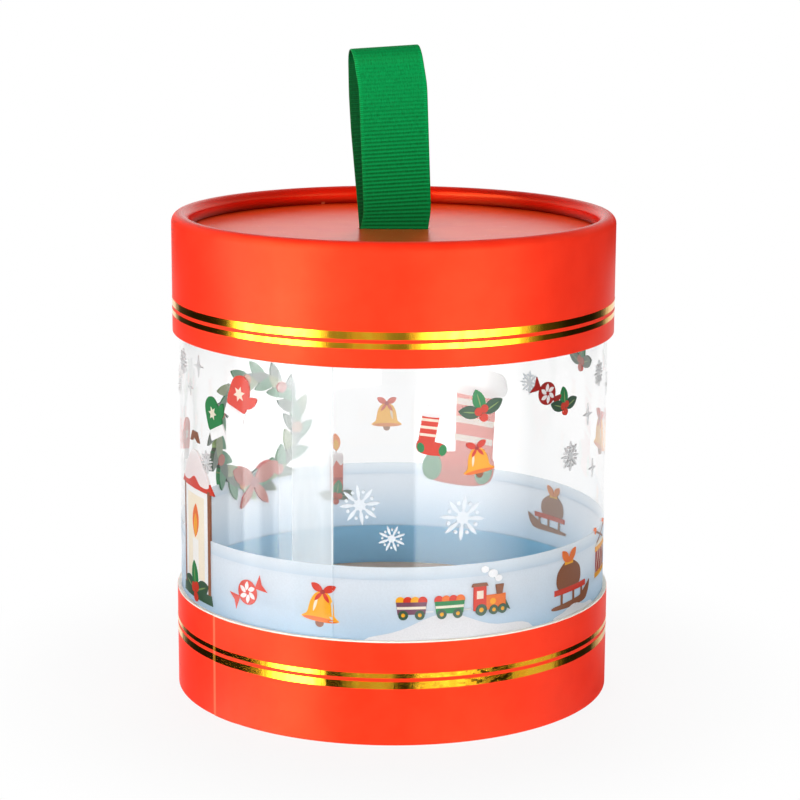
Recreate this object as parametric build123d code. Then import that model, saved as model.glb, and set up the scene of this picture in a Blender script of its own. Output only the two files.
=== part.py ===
from build123d import *
import math
import os

# Cylindrical gift tube box: a clear rolled window between a paperboard base
# and a paperboard lid that lifts off by a ribbon loop.
# The origin is the centre of the underside of the base, +Z runs up the axis,
# and the front of the box faces -Y. All lengths are in millimetres.
# Angles round the axis are polar, from +X: the front is at 270 degrees.

# Clear window: one plastic sheet, rolled, its two ends lapped and glued
window_outer_diameter = 121.6
window_thickness = 0.3
window_length = 120.0
window_seam_angle = 255.1
window_lap_width = 11.6
window_jog_width = 5.0

# Board and paper stock
board_thickness = 1.0
wrap_thickness = 0.15
foil_thickness = 0.05
glue_gap = 0.05

# Base cup: board tube, red wrap, foil stripes, bottom and raised floor
base_height = 29.0
base_wrap_setback = 0.35
base_seam_angle = 218.0
wrap_lap_width = 8.0
wrap_ramp_width = 1.6
bottom_recess = 2.5
bottom_disc_thickness = 1.5
spacer_ring_height = 11.6
spacer_ring_wall = 1.4
floor_disc_thickness = 1.5
floor_clearance = 0.1
base_lower_stripe_bottom = 15.8
base_lower_stripe_height = 2.0
base_stripe_gap = 1.0
base_upper_stripe_height = 1.3

# Lid: board tube with its top edge rolled inwards, wrap, stripes and top disc
lid_clearance = 0.55
lid_height = 33.0
rim_width = 5.0
rim_recess = 5.0
rim_foot_bevel = 0.6
lid_seam_angle = 112.0
disc_thickness = 1.5
stop_ring_height = 5.35
stop_overlap = 0.3
lid_lower_stripe_bottom = 5.1
lid_lower_stripe_height = 1.5
lid_stripe_gap = 1.0
lid_upper_stripe_height = 2.0

# Ribbon: one length of woven ribbon, looped up through a slot in the lid
ribbon_width = 19.0
ribbon_thickness = 0.6
ribbon_rise = 51.0
ribbon_top_radius = 4.8
ribbon_lean_angle = 4.0
ribbon_tail_length = 25.0
ribbon_strand_gap = 0.3
ribbon_root_clearance = 0.5
slot_side_clearance = 0.7
slot_face_clearance = 0.15
patch_length = 38.0
patch_width = 30.0
patch_corner_radius = 4.0

# Overrun of every cutting solid past the face that it cuts
cut_overrun = 5.0

# Radii worked out from the window outwards
window_outer_radius = window_outer_diameter / 2
window_inner_radius = window_outer_radius - window_thickness
lap_inner_radius = window_inner_radius - window_thickness
base_board_inner_radius = window_outer_radius + glue_gap
base_board_outer_radius = base_board_inner_radius + board_thickness
base_outer_radius = base_board_outer_radius + wrap_thickness
lid_board_inner_radius = window_outer_radius + lid_clearance
lid_board_outer_radius = lid_board_inner_radius + board_thickness
lid_outer_radius = lid_board_outer_radius + wrap_thickness

# Heights worked out from the table upwards
bottom_disc_top = bottom_recess + bottom_disc_thickness
floor_underside = bottom_disc_top + spacer_ring_height
floor_top = floor_underside + floor_disc_thickness
window_top = bottom_disc_top + window_length
disc_underside = window_top + stop_ring_height
disc_top = disc_underside + disc_thickness
facing_top = disc_top + wrap_thickness
crest_height = facing_top + rim_recess
lid_lower_edge = crest_height - lid_height
arch_centre_height = crest_height - rim_width / 2


def span_degrees(width, radius):
    """Angle that a width takes up round a circle."""
    return math.degrees(width / radius)


def polar(radius, angle):
    """Point at a radius and a polar angle."""
    turn = math.radians(angle)
    return (radius * math.cos(turn), radius * math.sin(turn))


def lapped_outline(radius, step, edge_angle, flat_span, ramp_span):
    """Circle with a raised or sunk stretch: a sharp step at the edge angle,
    a flat stretch anticlockwise of it, and a ramp back to the circle. With no
    step it is a plain circle that is split at the same angles."""
    flat_end = edge_angle + flat_span
    ramp_end = flat_end + ramp_span

    def arc(arc_radius, start, end):
        middle = (start + end) / 2
        return ThreePointArc(polar(arc_radius, start), polar(arc_radius, middle), polar(arc_radius, end))

    lines = [arc(radius, ramp_end, edge_angle + 360)]
    if flat_span:
        lines.append(arc(radius + step, edge_angle, flat_end))
    if step:
        lines.append(Line(polar(radius, edge_angle), polar(radius + step, edge_angle)))
        lines.append(Line(polar(radius + step, flat_end), polar(radius, ramp_end)))
    else:
        lines.append(arc(radius, flat_end, ramp_end))
    return make_face(lines)


def tube(outer_radius, inner_radius, bottom, top):
    """Plain tube standing on the axis."""
    wall = Circle(outer_radius) - Circle(inner_radius)
    return Pos(0, 0, bottom) * extrude(wall, top - bottom)


def disc(radius, bottom, top):
    """Plain round disc on the axis."""
    return Pos(0, 0, bottom) * extrude(Circle(radius), top - bottom)


def seam_outline(radius, step, outer_radius, seam_angle):
    """Round outline, split where the paper's lap and ramp end, with the lap
    raised by a step where there is one. The lap's spans follow the outer radius."""
    flat_span = span_degrees(wrap_lap_width, outer_radius)
    ramp_span = span_degrees(wrap_ramp_width, outer_radius)
    return lapped_outline(radius, step, seam_angle, flat_span, ramp_span)


def board_wall(outer_radius, seam_angle, bottom, top):
    """Straight wall of board that a wrap of the outer radius covers."""
    board_radius = outer_radius - wrap_thickness
    outer = seam_outline(board_radius, 0, outer_radius, seam_angle)
    inner = seam_outline(board_radius - board_thickness, 0, outer_radius, seam_angle)
    return Pos(0, 0, bottom) * extrude(outer - inner, top - bottom)


def wrap_wall(outer_radius, seam_angle, bottom, top):
    """Paper glued round a board wall, with one end lapped over the other."""
    outer = seam_outline(outer_radius, wrap_thickness, outer_radius, seam_angle)
    inner = seam_outline(outer_radius - wrap_thickness, 0, outer_radius, seam_angle)
    return Pos(0, 0, bottom) * extrude(outer - inner, top - bottom)


def foil_stripe(outer_radius, seam_angle, bottom, height):
    """Stamped foil band that follows the wrap and steps over its lap."""
    outer = seam_outline(outer_radius + foil_thickness, wrap_thickness, outer_radius, seam_angle)
    inner = seam_outline(outer_radius, wrap_thickness, outer_radius, seam_angle)
    return Pos(0, 0, bottom) * extrude(outer - inner, height)


def window_sheet():
    """Rolled sheet: its outer end stops at the seam angle and stands proud of
    the jogged wall beside it, and its inner end runs on under the outer one."""
    jog_span = span_degrees(window_jog_width, window_outer_radius)
    lap_span = span_degrees(window_lap_width, window_outer_radius)
    outer = lapped_outline(window_outer_radius, -window_thickness, window_seam_angle, 0, jog_span)
    inner = lapped_outline(
        window_inner_radius, -window_thickness, window_seam_angle - lap_span, lap_span, jog_span
    )
    return Pos(0, 0, bottom_disc_top) * extrude(outer - inner, window_length)


def base_board_tube():
    """Board tube, cut raw at both ends, on whose lower edge the box stands."""
    return board_wall(base_outer_radius, base_seam_angle, 0, base_height)


def base_wrap():
    """Red paper round the base, stopping short of the raw top edge of the board."""
    return wrap_wall(base_outer_radius, base_seam_angle, 0, base_height - base_wrap_setback)


def base_foil_stripe_lower():
    bottom = base_lower_stripe_bottom
    return foil_stripe(base_outer_radius, base_seam_angle, bottom, base_lower_stripe_height)


def base_foil_stripe_upper():
    bottom = base_lower_stripe_bottom + base_lower_stripe_height + base_stripe_gap
    return foil_stripe(base_outer_radius, base_seam_angle, bottom, base_upper_stripe_height)


def base_bottom_disc():
    return disc(base_board_inner_radius - glue_gap, bottom_recess, bottom_disc_top)


def base_bottom_facing():
    """Paper disc that hides the raw board underneath."""
    return disc(base_board_inner_radius - glue_gap, bottom_recess - wrap_thickness, bottom_recess)


def base_spacer_ring():
    """Coiled board ring that carries the raised floor."""
    outer_radius = lap_inner_radius - floor_clearance
    return tube(outer_radius, outer_radius - spacer_ring_wall, bottom_disc_top, floor_underside)


def base_floor_disc():
    return disc(lap_inner_radius - floor_clearance, floor_underside, floor_top)


def hook_section(outer_radius, width, crest, foot, thickness, bevel):
    """Half section of the lid's rolled rim: from the top of the straight wall
    over the crest and down the inner side to a bevelled foot on the top disc."""
    inner_radius = outer_radius - width
    bend = width / 2
    centre = outer_radius - bend
    bend_height = crest - bend
    back_inner = inner_radius + thickness
    back_outer = outer_radius - thickness
    lines = ThreePointArc((inner_radius, bend_height), (centre, crest), (outer_radius, bend_height))
    lines += ThreePointArc(
        (back_outer, bend_height), (centre, crest - thickness), (back_inner, bend_height)
    )
    lines += Line((outer_radius, bend_height), (back_outer, bend_height))
    lines += Polyline(
        (back_inner, bend_height),
        (back_inner, foot),
        (inner_radius + bevel, foot),
        (inner_radius, foot + bevel),
        (inner_radius, bend_height),
    )
    return make_face(lines)


def lid_board_section():
    """Section of the rolled board alone."""
    return hook_section(
        lid_board_outer_radius,
        rim_width - 2 * wrap_thickness,
        crest_height - wrap_thickness,
        facing_top + wrap_thickness,
        board_thickness,
        rim_foot_bevel - wrap_thickness / 2,
    )


def lid_wrapped_section():
    """Section of the rolled board and its wrap together."""
    full_thickness = board_thickness + wrap_thickness
    return hook_section(
        lid_outer_radius, rim_width, crest_height, facing_top, full_thickness, rim_foot_bevel
    )


def turned_rim(section):
    """Rim turned round the axis from the angle of the lid's seam."""
    return Rot(0, 0, lid_seam_angle) * revolve(Plane.XZ * section, Axis.Z)


def lid_board_tube():
    """Board tube whose top edge is rolled inwards, cut raw at its lower edge."""
    wall = board_wall(lid_outer_radius, lid_seam_angle, lid_lower_edge, arch_centre_height)
    return turned_rim(lid_board_section()) + wall


def lid_wrap():
    """Red paper over the lid's wall, with its seam lapped at the back, and over
    the rolled rim, where rolling presses the lap flat."""
    wall = wrap_wall(lid_outer_radius, lid_seam_angle, lid_lower_edge, arch_centre_height)
    return turned_rim(lid_wrapped_section() - lid_board_section()) + wall


def lid_foil_stripe_lower():
    bottom = lid_lower_edge + lid_lower_stripe_bottom
    return foil_stripe(lid_outer_radius, lid_seam_angle, bottom, lid_lower_stripe_height)


def lid_foil_stripe_upper():
    bottom = lid_lower_edge + lid_lower_stripe_bottom + lid_lower_stripe_height + lid_stripe_gap
    return foil_stripe(lid_outer_radius, lid_seam_angle, bottom, lid_upper_stripe_height)


def slot_cutter(bottom, top):
    """Round-ended slot for the two strands of the ribbon."""
    length = ribbon_width + 2 * slot_side_clearance
    width = 2 * ribbon_thickness + ribbon_strand_gap + 2 * slot_face_clearance
    height = top - bottom + 2 * cut_overrun
    return Pos(0, 0, bottom - cut_overrun) * extrude(SlotOverall(length, width), height)


def lid_disc_blank(bottom, top):
    """Round blank that fits inside the lid's wall, with the slot cut in it."""
    return disc(lid_board_inner_radius - glue_gap, bottom, top) - slot_cutter(bottom, top)


def lid_top_disc():
    """Board disc, pushed up against the rolled rim from inside."""
    return lid_disc_blank(disc_underside, disc_top)


def lid_disc_facing():
    """Printed paper on the top disc."""
    return lid_disc_blank(disc_top, facing_top)


def lid_stop_ring():
    """Board ring glued under the disc: it holds the disc up and stops the lid
    on the top edge of the window."""
    inner_radius = window_inner_radius - stop_overlap
    return tube(lid_board_inner_radius - glue_gap, inner_radius, window_top, disc_underside)


def ribbon_loop():
    """Free loop above the lid: two strands that close on the slot and a rolled
    top, leaning to the left as it stands."""
    top_centre = facing_top + ribbon_rise - ribbon_top_radius
    root_radius = ribbon_strand_gap / 2 + ribbon_thickness
    lean = (ribbon_top_radius - root_radius) / (top_centre - facing_top)
    cosine = math.sqrt(1 - lean * lean)

    def outline(inset):
        """Inverted U round the root and top circles, drawn in by an inset."""
        top_radius = ribbon_top_radius - inset
        low_radius = root_radius - inset
        top_side = (top_radius * cosine, top_centre - top_radius * lean)
        low_side = (low_radius * cosine, facing_top - low_radius * lean)
        lines = Polyline((-top_side[0], top_side[1]), (-low_side[0], low_side[1]), low_side, top_side)
        lines += ThreePointArc(top_side, (0, top_centre + top_radius), (-top_side[0], top_side[1]))
        return make_face(lines)

    band = extrude(Plane.YZ * (outline(0) - outline(ribbon_thickness)), ribbon_width / 2, both=True)
    pivot = Pos(0, 0, facing_top)
    standing = pivot * Rot(0, -ribbon_lean_angle, 0) * pivot.inverse() * band
    root_block = Box(
        2 * ribbon_width,
        2 * ribbon_width,
        2 * cut_overrun,
        align=(Align.CENTER, Align.CENTER, Align.MAX),
    )
    return standing - Pos(0, 0, facing_top + ribbon_root_clearance) * root_block


def ribbon_tails():
    """The two ends: down through the slot and out flat under the top disc."""
    inner = ribbon_strand_gap / 2
    outer = inner + ribbon_thickness
    low = disc_underside - ribbon_thickness
    reach = outer + ribbon_tail_length
    front = make_face(
        Polyline(
            (inner, facing_top),
            (outer, facing_top),
            (outer, disc_underside),
            (reach, disc_underside),
            (reach, low),
            (inner, low),
            close=True,
        )
    )
    strand = extrude(Plane.YZ * front, ribbon_width / 2, both=True)
    return Compound([strand, mirror(strand, Plane.XZ)])


def ribbon_patch():
    """Card patch glued over the spread tails."""
    top = disc_underside - ribbon_thickness
    plate = RectangleRounded(patch_width, patch_length, patch_corner_radius)
    return Pos(0, 0, top - wrap_thickness) * extrude(plate, wrap_thickness)


PIECES = {
    "base_board_tube": base_board_tube,
    "base_wrap": base_wrap,
    "base_foil_stripe_lower": base_foil_stripe_lower,
    "base_foil_stripe_upper": base_foil_stripe_upper,
    "base_bottom_disc": base_bottom_disc,
    "base_bottom_facing": base_bottom_facing,
    "base_spacer_ring": base_spacer_ring,
    "base_floor_disc": base_floor_disc,
    "window_sheet": window_sheet,
    "lid_board_tube": lid_board_tube,
    "lid_wrap": lid_wrap,
    "lid_foil_stripe_lower": lid_foil_stripe_lower,
    "lid_foil_stripe_upper": lid_foil_stripe_upper,
    "lid_top_disc": lid_top_disc,
    "lid_disc_facing": lid_disc_facing,
    "lid_stop_ring": lid_stop_ring,
    "ribbon_tails": ribbon_tails,
    "ribbon_patch": ribbon_patch,
    "ribbon_loop": ribbon_loop,
}

os.makedirs("parts", exist_ok=True)
for name, build in PIECES.items():
    export_step(build(), "parts/" + name + ".step")
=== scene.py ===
import bpy
import bmesh
import math
import numpy as np
from mathutils import Matrix, Vector


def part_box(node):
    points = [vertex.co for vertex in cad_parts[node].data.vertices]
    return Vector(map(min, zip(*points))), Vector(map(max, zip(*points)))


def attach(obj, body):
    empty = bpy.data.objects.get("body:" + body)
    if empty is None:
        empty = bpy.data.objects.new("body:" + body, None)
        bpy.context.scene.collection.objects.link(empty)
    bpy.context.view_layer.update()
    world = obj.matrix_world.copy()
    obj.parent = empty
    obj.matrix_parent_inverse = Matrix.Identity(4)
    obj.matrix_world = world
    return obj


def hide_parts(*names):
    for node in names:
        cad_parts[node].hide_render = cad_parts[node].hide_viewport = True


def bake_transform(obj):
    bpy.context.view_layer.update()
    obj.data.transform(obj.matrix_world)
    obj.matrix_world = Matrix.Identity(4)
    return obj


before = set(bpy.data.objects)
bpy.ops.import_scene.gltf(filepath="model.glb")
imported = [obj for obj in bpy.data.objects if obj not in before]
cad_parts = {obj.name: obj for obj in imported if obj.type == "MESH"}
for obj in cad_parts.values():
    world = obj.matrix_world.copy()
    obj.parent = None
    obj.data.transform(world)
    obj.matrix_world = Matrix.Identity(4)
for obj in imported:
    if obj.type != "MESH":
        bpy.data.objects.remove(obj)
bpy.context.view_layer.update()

# Camera: stands a little right of the middle, above the lid, and looks down at
# the front of the box. Its place and lens come from edges measured in the photograph.
mm = 0.001
camera_place = (2.0 * mm, -694.7 * mm, 227.1 * mm)
camera_pitch = math.radians(11.82)
camera_roll = math.radians(0.29)
camera_focal_pixels = 2482.6
picture_pixels = 800
camera_data = bpy.data.cameras.new("camera")
camera_data.sensor_width = 36
camera_data.lens = camera_focal_pixels * camera_data.sensor_width / picture_pixels
camera = bpy.data.objects.new("camera", camera_data)
bpy.context.scene.collection.objects.link(camera)
camera.matrix_world = (
    Matrix.Translation(camera_place)
    @ Matrix.Rotation(math.pi / 2 - camera_pitch, 4, "X")
    @ Matrix.Rotation(camera_roll, 4, "Z")
)
bpy.context.scene.camera = camera
bpy.context.scene.view_settings.view_transform = "Standard"


# Base board tube: a ring of solid board, wound on a mandrel and cut raw at both
# ends, white lined. Its cut top edge shows above the red paper.
def srgb(red, green, blue):
    """Linear colour of a display colour given in steps of 255."""
    shares = np.array([red, green, blue]) / 255
    linear = np.where(shares <= 0.04045, shares / 12.92, ((shares + 0.055) / 1.055) ** 2.4)
    return tuple(float(x) for x in linear)


class Field:
    """A value or colour that varies over a surface. Arithmetic on it adds the
    Math nodes, so a finish is written as an expression."""

    def __init__(self, finish, socket):
        self.finish = finish
        self.socket = socket

    def __add__(self, other):
        return self.finish.maths("ADD", self, other)

    __radd__ = __add__

    def __sub__(self, other):
        return self.finish.maths("SUBTRACT", self, other)

    def __rsub__(self, other):
        return self.finish.maths("SUBTRACT", other, self)

    def __mul__(self, other):
        return self.finish.maths("MULTIPLY", self, other)

    __rmul__ = __mul__

    def __pow__(self, other):
        return self.finish.maths("POWER", self, other)


class Finish:
    """The finish of one surface, or of the surround: a material or a world whose
    nodes are added by type."""

    def __init__(self, name, shelf=bpy.data.materials, output="OutputMaterial"):
        self.material = shelf.new(name)
        self.material.use_nodes = True
        self.tree = self.material.node_tree
        self.tree.nodes.clear()
        self.output = self.tree.nodes.new("ShaderNode" + output)

    def node(self, kind, settings=(), inputs=(), out=0):
        """Adds a node: its settings first, then the values or links of its sockets."""
        made = self.tree.nodes.new("ShaderNode" + kind)
        for key, value in dict(settings).items():
            setattr(made, key, value)
        for key, value in dict(inputs).items():
            if isinstance(value, Field):
                self.tree.links.new(value.socket, made.inputs[key])
            else:
                made.inputs[key].default_value = value
        return Field(self, made.outputs[out])

    def maths(self, operation, first, second=0.0):
        """Result of one Math node."""
        return self.node("Math", {"operation": operation}, {0: first, 1: second})

    def between(self, value, low, high):
        """Smooth rise from 0 at low to 1 at high; it falls where high is below low."""
        settings = {"interpolation_type": "SMOOTHSTEP"}
        return self.node("MapRange", settings, {"Value": value, "From Min": low, "From Max": high})

    def blend(self, share, first, second):
        """Colour between two, by a share."""
        first = first if isinstance(first, Field) else (*first, 1)
        second = second if isinstance(second, Field) else (*second, 1)
        settings = {"data_type": "RGBA"}
        return self.node("Mix", settings, {0: share, 6: first, 7: second}, out=2)

    def place(self, scale=(1, 1, 1), source="Object"):
        """Coordinates on the piece, stretched by a scale."""
        where = self.node("TexCoord", out=source)
        return self.node("Mapping", {}, {"Vector": where, "Scale": scale})

    def grain(self, size, detail=2.0, stretch=(1, 1, 1), source="Object"):
        """Cloudy value about 0.5, with grains of a size in metres."""
        scale = tuple(share / size for share in stretch)
        inputs = {"Vector": self.place(scale, source), "Scale": 1.0, "Detail": detail}
        return self.node("TexNoise", {}, inputs)

    def axis(self, number, source="Object"):
        """One coordinate on the piece, by its number."""
        return self.node("SeparateXYZ", {}, {0: self.place(source=source)}, out=number)

    def from_seam(self, radius):
        """Distance round a turned shell from its seam, in metres."""
        share = self.axis(0, "UV")
        return self.maths("MINIMUM", share, 1 - share) * (2 * math.pi * radius)

    def relief(self, height, depth):
        """Normal that follows a height of 0 to 1, by a depth in metres."""
        return self.node("Bump", {}, {"Strength": 1.0, "Distance": depth, "Height": height})

    def mixed(self, share, first, second):
        """Shader between two, by a share."""
        return self.node("MixShader", {}, {0: share, 1: first, 2: second})

    def surface(self, **sockets):
        """The one plastic, paper or metal shader, given by its sockets' names."""
        names = [key.replace("_", " ").title().replace("Ior", "IOR") for key in sockets]
        return self.show(self.node("BsdfPrincipled", {}, zip(names, sockets.values())))

    def show(self, shader):
        """Sends a shader to the surface."""
        self.tree.links.new(shader.socket, self.output.inputs["Surface"])
        return self.material


def board_finish(name, colour, fleck, roughness=0.85):
    """Pressed board: cloudy formation, short fibres and a few darker flecks."""
    finish = Finish(name)
    clouds = finish.grain(4 * mm, 3)
    fibres = finish.grain(0.35 * mm, 4, (1, 1, 0.4))
    flecks = finish.between(finish.grain(0.5 * mm, 2), 0.66, 0.74)
    shade = finish.between(clouds * 0.5 + fibres * 0.5, 0.3, 0.7)
    light = tuple(share * 1.04 for share in colour)
    dark = tuple(share * 0.9 for share in colour)
    tint = finish.blend(shade, dark, light)
    return finish.surface(
        base_color=finish.blend(flecks * 0.5, tint, fleck),
        roughness=roughness,
        normal=finish.relief(fibres, 0.03 * mm),
    )


def dress(node, material):
    """Gives a CAD piece its finish."""
    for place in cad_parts[node].material_slots:
        place.material = material


white_board = board_finish("white_board", srgb(236, 232, 220), srgb(190, 170, 140))
dress("base_board_tube", white_board)

# Bottom disc and its facing: grey board pushed into the tube from below, with a
# white paper disc that hides it underneath.
grey_board = board_finish("grey_board", srgb(168, 158, 144), srgb(90, 80, 70))
white_paper = board_finish("white_paper", srgb(240, 239, 234), srgb(215, 212, 205), 0.7)
dress("base_bottom_disc", grey_board)
dress("base_bottom_facing", white_paper)

# Raised floor: a kraft lined disc on a coiled ring of grey board.
kraft_board = board_finish("kraft_board", srgb(214, 192, 170), srgb(150, 118, 88))
dress("base_spacer_ring", grey_board)
dress("base_floor_disc", kraft_board)

# Base wrap: printed and matt laminated red paper, glued round the board tube,
# with one end lapped over the other at the left of the front.
step_angle = 0.02
around_steps = 360
wrap_thickness = 0.15 * mm
wrap_lap_width = 8.0 * mm
wrap_ramp_width = 1.6 * mm
cut_edge_height = 0.05 * mm
cut_edge_round = 0.04 * mm
base_seam_angle = 218.0


def ring_angles(start, *sharp):
    """Angles in degrees once round from a start, with each sharp step given
    twice, just before and just after it."""
    even = start + np.arange(around_steps) * 360 / around_steps
    steps = np.array([start + (angle - start) % 360 for angle in sharp])
    every = np.concatenate([even, steps, steps - step_angle, [start + 360 - step_angle]])
    return np.unique(np.round(every, 6))


def rise(angles, edge, flat, ramp):
    """1 from a sharp edge angle over a flat stretch, down to 0 along a ramp,
    and 0 elsewhere round the circle."""
    stops = [edge - step_angle, edge, edge + flat, edge + flat + ramp]
    return np.interp(angles, stops, [0, 1, 1, 0], period=360)


def turned(radii, heights, angles):
    """Points of a turned surface: each row is one point of the profile carried
    round the axis, at (r cos a, r sin a, z). Radii may differ along a row."""
    turn = np.radians(angles)[None, :]
    radii = np.broadcast_to(radii, (len(heights), len(angles)))
    heights = np.broadcast_to(np.asarray(heights)[:, None], radii.shape)
    return np.stack([radii * np.cos(turn), radii * np.sin(turn), heights], axis=2)


def raw_mesh(name, points, faces):
    """Mesh of points and of faces with four corners, or three and a last of -1."""
    sides = np.where(faces[:, 3] < 0, 3, 4)
    corners = faces[faces >= 0]
    mesh = bpy.data.meshes.new(name)
    mesh.vertices.add(len(points))
    mesh.vertices.foreach_set("co", points.astype(np.float32).ravel())
    mesh.loops.add(len(corners))
    mesh.loops.foreach_set("vertex_index", corners.astype(np.int32))
    mesh.polygons.add(len(faces))
    mesh.polygons.foreach_set("loop_start", (np.cumsum(sides) - sides).astype(np.int32))
    return mesh


def finished(name, mesh, materials, sharp=35):
    """Closes seams and poles, smooths the shading up to sharp edges and links
    the piece into the scene."""
    mesh.update(calc_edges=True)
    mesh.validate()
    shape = bmesh.new()
    shape.from_mesh(mesh)
    bmesh.ops.remove_doubles(shape, verts=shape.verts, dist=1e-7)
    shape.to_mesh(mesh)
    shape.free()
    mesh.shade_smooth()
    mesh.set_sharp_from_angle(angle=math.radians(sharp))
    for material in materials:
        mesh.materials.append(material)
    piece = bpy.data.objects.new(name, mesh)
    bpy.context.scene.collection.objects.link(piece)
    return piece


def skin(name, points, materials, uv, closed=(True, True), row_material=None, sharp=35):
    """A mesh of quads on a grid of points. Rows and columns join up with the
    first where closed. uv holds the places of the rows and of the columns."""
    rows, columns = points.shape[:2]
    row_faces = rows if closed[0] else rows - 1
    column_faces = columns if closed[1] else columns - 1
    row, column = np.meshgrid(np.arange(row_faces), np.arange(column_faces), indexing="ij")
    row = row.ravel()[:, None] + np.array([0, 0, 1, 1])
    column = column.ravel()[:, None] + np.array([0, 1, 1, 0])
    mesh = raw_mesh(name, points.reshape(-1, 3), (row % rows) * columns + column % columns)
    layer = mesh.uv_layers.new(name="UVMap")
    places = np.stack([uv[1][column.ravel()], uv[0][row.ravel()]], axis=1)
    layer.data.foreach_set("uv", places.astype(np.float32).ravel())
    if row_material is not None:
        mesh.polygons.foreach_set("material_index", row_material[row[:, 0]].astype(np.int32))
    return finished(name, mesh, materials, sharp)


def lengths(points, closed):
    """Distance along a line of points, from its first, with the way back to the
    first at the end where it is closed."""
    if closed:
        points = np.concatenate([points, points[:1]])
    return np.concatenate([[0], np.cumsum(np.linalg.norm(np.diff(points, axis=0), axis=1))])


def turned_skin(name, radii, heights, angles, materials, **options):
    """Closed turned shell, whose profile runs anticlockwise: up its outer side
    and down its inner side. UV is the share of the turn made since the seam and
    the way up the wall in metres."""
    points = turned(radii, heights, angles)
    shares = (np.append(angles, angles[0] + 360) - angles[0]) / 360
    return skin(name, points, materials, (lengths(points[:, 0], True), shares), **options)


def red_paper_finish(name, radius, crease_top, roll=1.0, tuck=1.0):
    """Red print under a matt film: faint mottle and fibre relief, and a paler
    strip, up to a height, at the end of the lap: partly rubbed wear, partly a
    painted highlight of the lap's ridge. Beyond the roll the print is smoother
    and painted a deeper red as painted shade, and towards the tuck it is painted
    dark as painted shade of the fold by the top disc; roll and tuck are ways up
    the wall in metres."""
    finish = Finish(name)
    mottle = finish.grain(9 * mm, 3)
    fibres = finish.grain(0.25 * mm, 3, (1, 1, 0.5))
    up_wall = finish.axis(1, "UV")
    # Paler strip at the lap's end: rubbed wear and a painted highlight of its ridge.
    crease_wear_and_highlight = finish.between(finish.from_seam(radius), 0.75 * mm, 0.45 * mm)
    crease_wear_and_highlight = crease_wear_and_highlight * finish.between(finish.axis(2), crease_top + 1 * mm, crease_top)
    burnish_and_painted_shade = finish.between(up_wall, roll - 2 * mm, roll + 0.5 * mm)
    painted_foot_shade = finish.between(up_wall, tuck - 2.6 * mm, tuck - 0.4 * mm)
    red = finish.blend(finish.between(mottle, 0.3, 0.7), srgb(243, 38, 17), srgb(248, 44, 22))
    # Painted shade: deeper red beyond the roll.
    red = finish.blend(burnish_and_painted_shade, red, srgb(216, 16, 2))
    # Painted shade: dark band towards the foot of the tuck.
    red = finish.blend(painted_foot_shade * 0.85, red, srgb(96, 4, 0))
    return finish.surface(
        base_color=finish.blend(crease_wear_and_highlight * 0.4, red, srgb(255, 150, 110)),
        roughness=0.4 + 0.08 * fibres - 0.2 * burnish_and_painted_shade,
        normal=finish.relief(fibres * (1 - 0.7 * burnish_and_painted_shade), 0.006 * mm),
        specular_ior_level=0.4,
        specular_tint=(1.0, 0.85, 0.27, 1),
    )


def wrap_lap(angles, edge, radius):
    """Rise of the paper's lap over a wall of a radius."""
    flat = math.degrees(wrap_lap_width / radius)
    ramp = math.degrees(wrap_ramp_width / radius)
    return rise(angles, edge, flat, ramp)


def wrap_rows(low, high, count):
    """Heights up a wall, with a tiny round at each cut edge."""
    even = np.linspace(low + 4 * cut_edge_height, high - 4 * cut_edge_height, count)
    return np.concatenate([[low, low + cut_edge_height], even, [high - cut_edge_height, high]])


base_low, base_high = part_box("base_wrap")
base_board_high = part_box("base_board_tube")[1]
base_radius = base_board_high.y + wrap_thickness
base_angles = ring_angles(base_seam_angle)
base_lap = wrap_lap(base_angles, base_seam_angle, base_radius)
base_rows = wrap_rows(base_low.z, base_high.z, 12)
base_rounds = np.zeros((len(base_rows), 1))
base_rounds[[0, -1]] = cut_edge_round
base_outer = base_radius + wrap_thickness * base_lap - base_rounds
base_inner = np.full((2, len(base_angles)), base_radius - wrap_thickness)
base_profile = np.concatenate([base_rows, [base_high.z, base_low.z]])
base_cut_rows = np.zeros(len(base_profile), int)
base_cut_rows[[len(base_rows) - 1, -1]] = 1
paper_core = board_finish("paper_core", srgb(246, 236, 224), srgb(225, 200, 180))
base_wrap = turned_skin(
    "base_wrap_paper",
    np.concatenate([base_outer, base_inner]),
    base_profile,
    base_angles,
    [red_paper_finish("red_paper_base", base_radius, base_high.z), paper_core],
    row_material=base_cut_rows,
)
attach(base_wrap, "base")
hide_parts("base_wrap")

# Base foil stripes: two bands of gold foil, hot stamped on the paper. They
# follow its lap, and the board's unevenness shows in their reflections.
foil_thickness = 0.05 * mm
base_dent_depth = 0.075 * mm


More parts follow.
